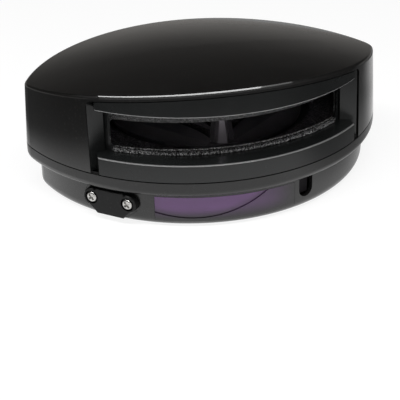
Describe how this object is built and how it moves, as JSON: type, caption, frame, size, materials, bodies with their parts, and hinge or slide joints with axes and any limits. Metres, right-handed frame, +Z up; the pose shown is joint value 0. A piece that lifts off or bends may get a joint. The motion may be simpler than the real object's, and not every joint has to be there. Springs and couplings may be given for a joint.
{
  "type": "laser presence sensor",
  "caption": "Wide-area laser scanner for presence sensing: almond-shaped black housing, recessed smoked window, spinning multi-plane mirror inside and screwed connector cover on the base.",
  "frame": {"origin": "centre of the flat underside of the base drum", "axes": "+X along the housing's length, -Y out of the scanning window, +Z up from the base to the cover"},
  "size_m": [0.1978, 0.1516, 0.074],
  "materials": {
    "cover_black": "satin black moulded plastic",
    "bezel_black": "satin black moulded plastic",
    "tray_black": "satin black moulded plastic",
    "drum_black": "semi-gloss black moulded plastic",
    "plate_black": "satin black moulded plastic",
    "smoked_window": "smoked optical plastic",
    "violet_filter": "polished dark violet filter plastic",
    "seal_rubber": "black rubber",
    "bright_steel": "zinc-plated steel",
    "brass_metal": "turned brass",
    "socket_black": "black plastic",
    "board_green": "lacquered board",
    "clear_lamp": "clear resin",
    "chassis_black": "matt black plastic",
    "motor_metal": "turned aluminium",
    "stator_iron": "laminated iron",
    "wheel_black": "black anodised aluminium",
    "mirror_glass": "first-surface mirror",
    "lens_glass": "clear lens"
  },
  "bodies": {
    "housing": {"base_drum": "drum_black", "base_screws": "bright_steel", "board_chips": "socket_black", "board_screws": "bright_steel", "chassis_screws": "bright_steel", "collimator_lens": "lens_glass", "connector_cover": "plate_black", "connector_cover_screws": "bright_steel", "connector_gasket": "seal_rubber", "connector_pins": "brass_metal", "connector_socket": "socket_black", "cover_screws": "bright_steel", "encoder_sensor": "socket_black", "front_bezel": "bezel_black", "housing_seal": "seal_rubber", "indicator_board": "board_green", "indicator_leds": "clear_lamp", "laser_holder": "chassis_black", "laser_module": "brass_metal", "laser_window": "smoked_window", "lower_bearing": "bright_steel", "lower_tray": "tray_black", "main_board": "board_green", "motor_housing": "motor_metal", "motor_screws": "bright_steel", "motor_stator": "stator_iron", "mounting_inserts": "brass_metal", "optics_chassis": "chassis_black", "photodiode": "socket_black", "receiver_board": "board_green", "receiver_holder": "chassis_black", "receiver_lens": "lens_glass", "top_cover": "cover_black", "upper_bearing": "bright_steel", "violet_window": "violet_filter", "window_gasket": "seal_rubber"},
    "mirror_rotor": {"motor_shaft": "bright_steel", "rotor_magnet": "stator_iron", "mirror_wheel": "wheel_black", "mirror_facets": "mirror_glass", "encoder_disc": "bright_steel"}
  },
  "joints": [
    {"name": "mirror_spin", "type": "hinge", "parent": "housing", "child": "mirror_rotor", "pos_m": [0, 0, 0.045], "axis": [0, 0, 1], "continuous": true}
  ]
}
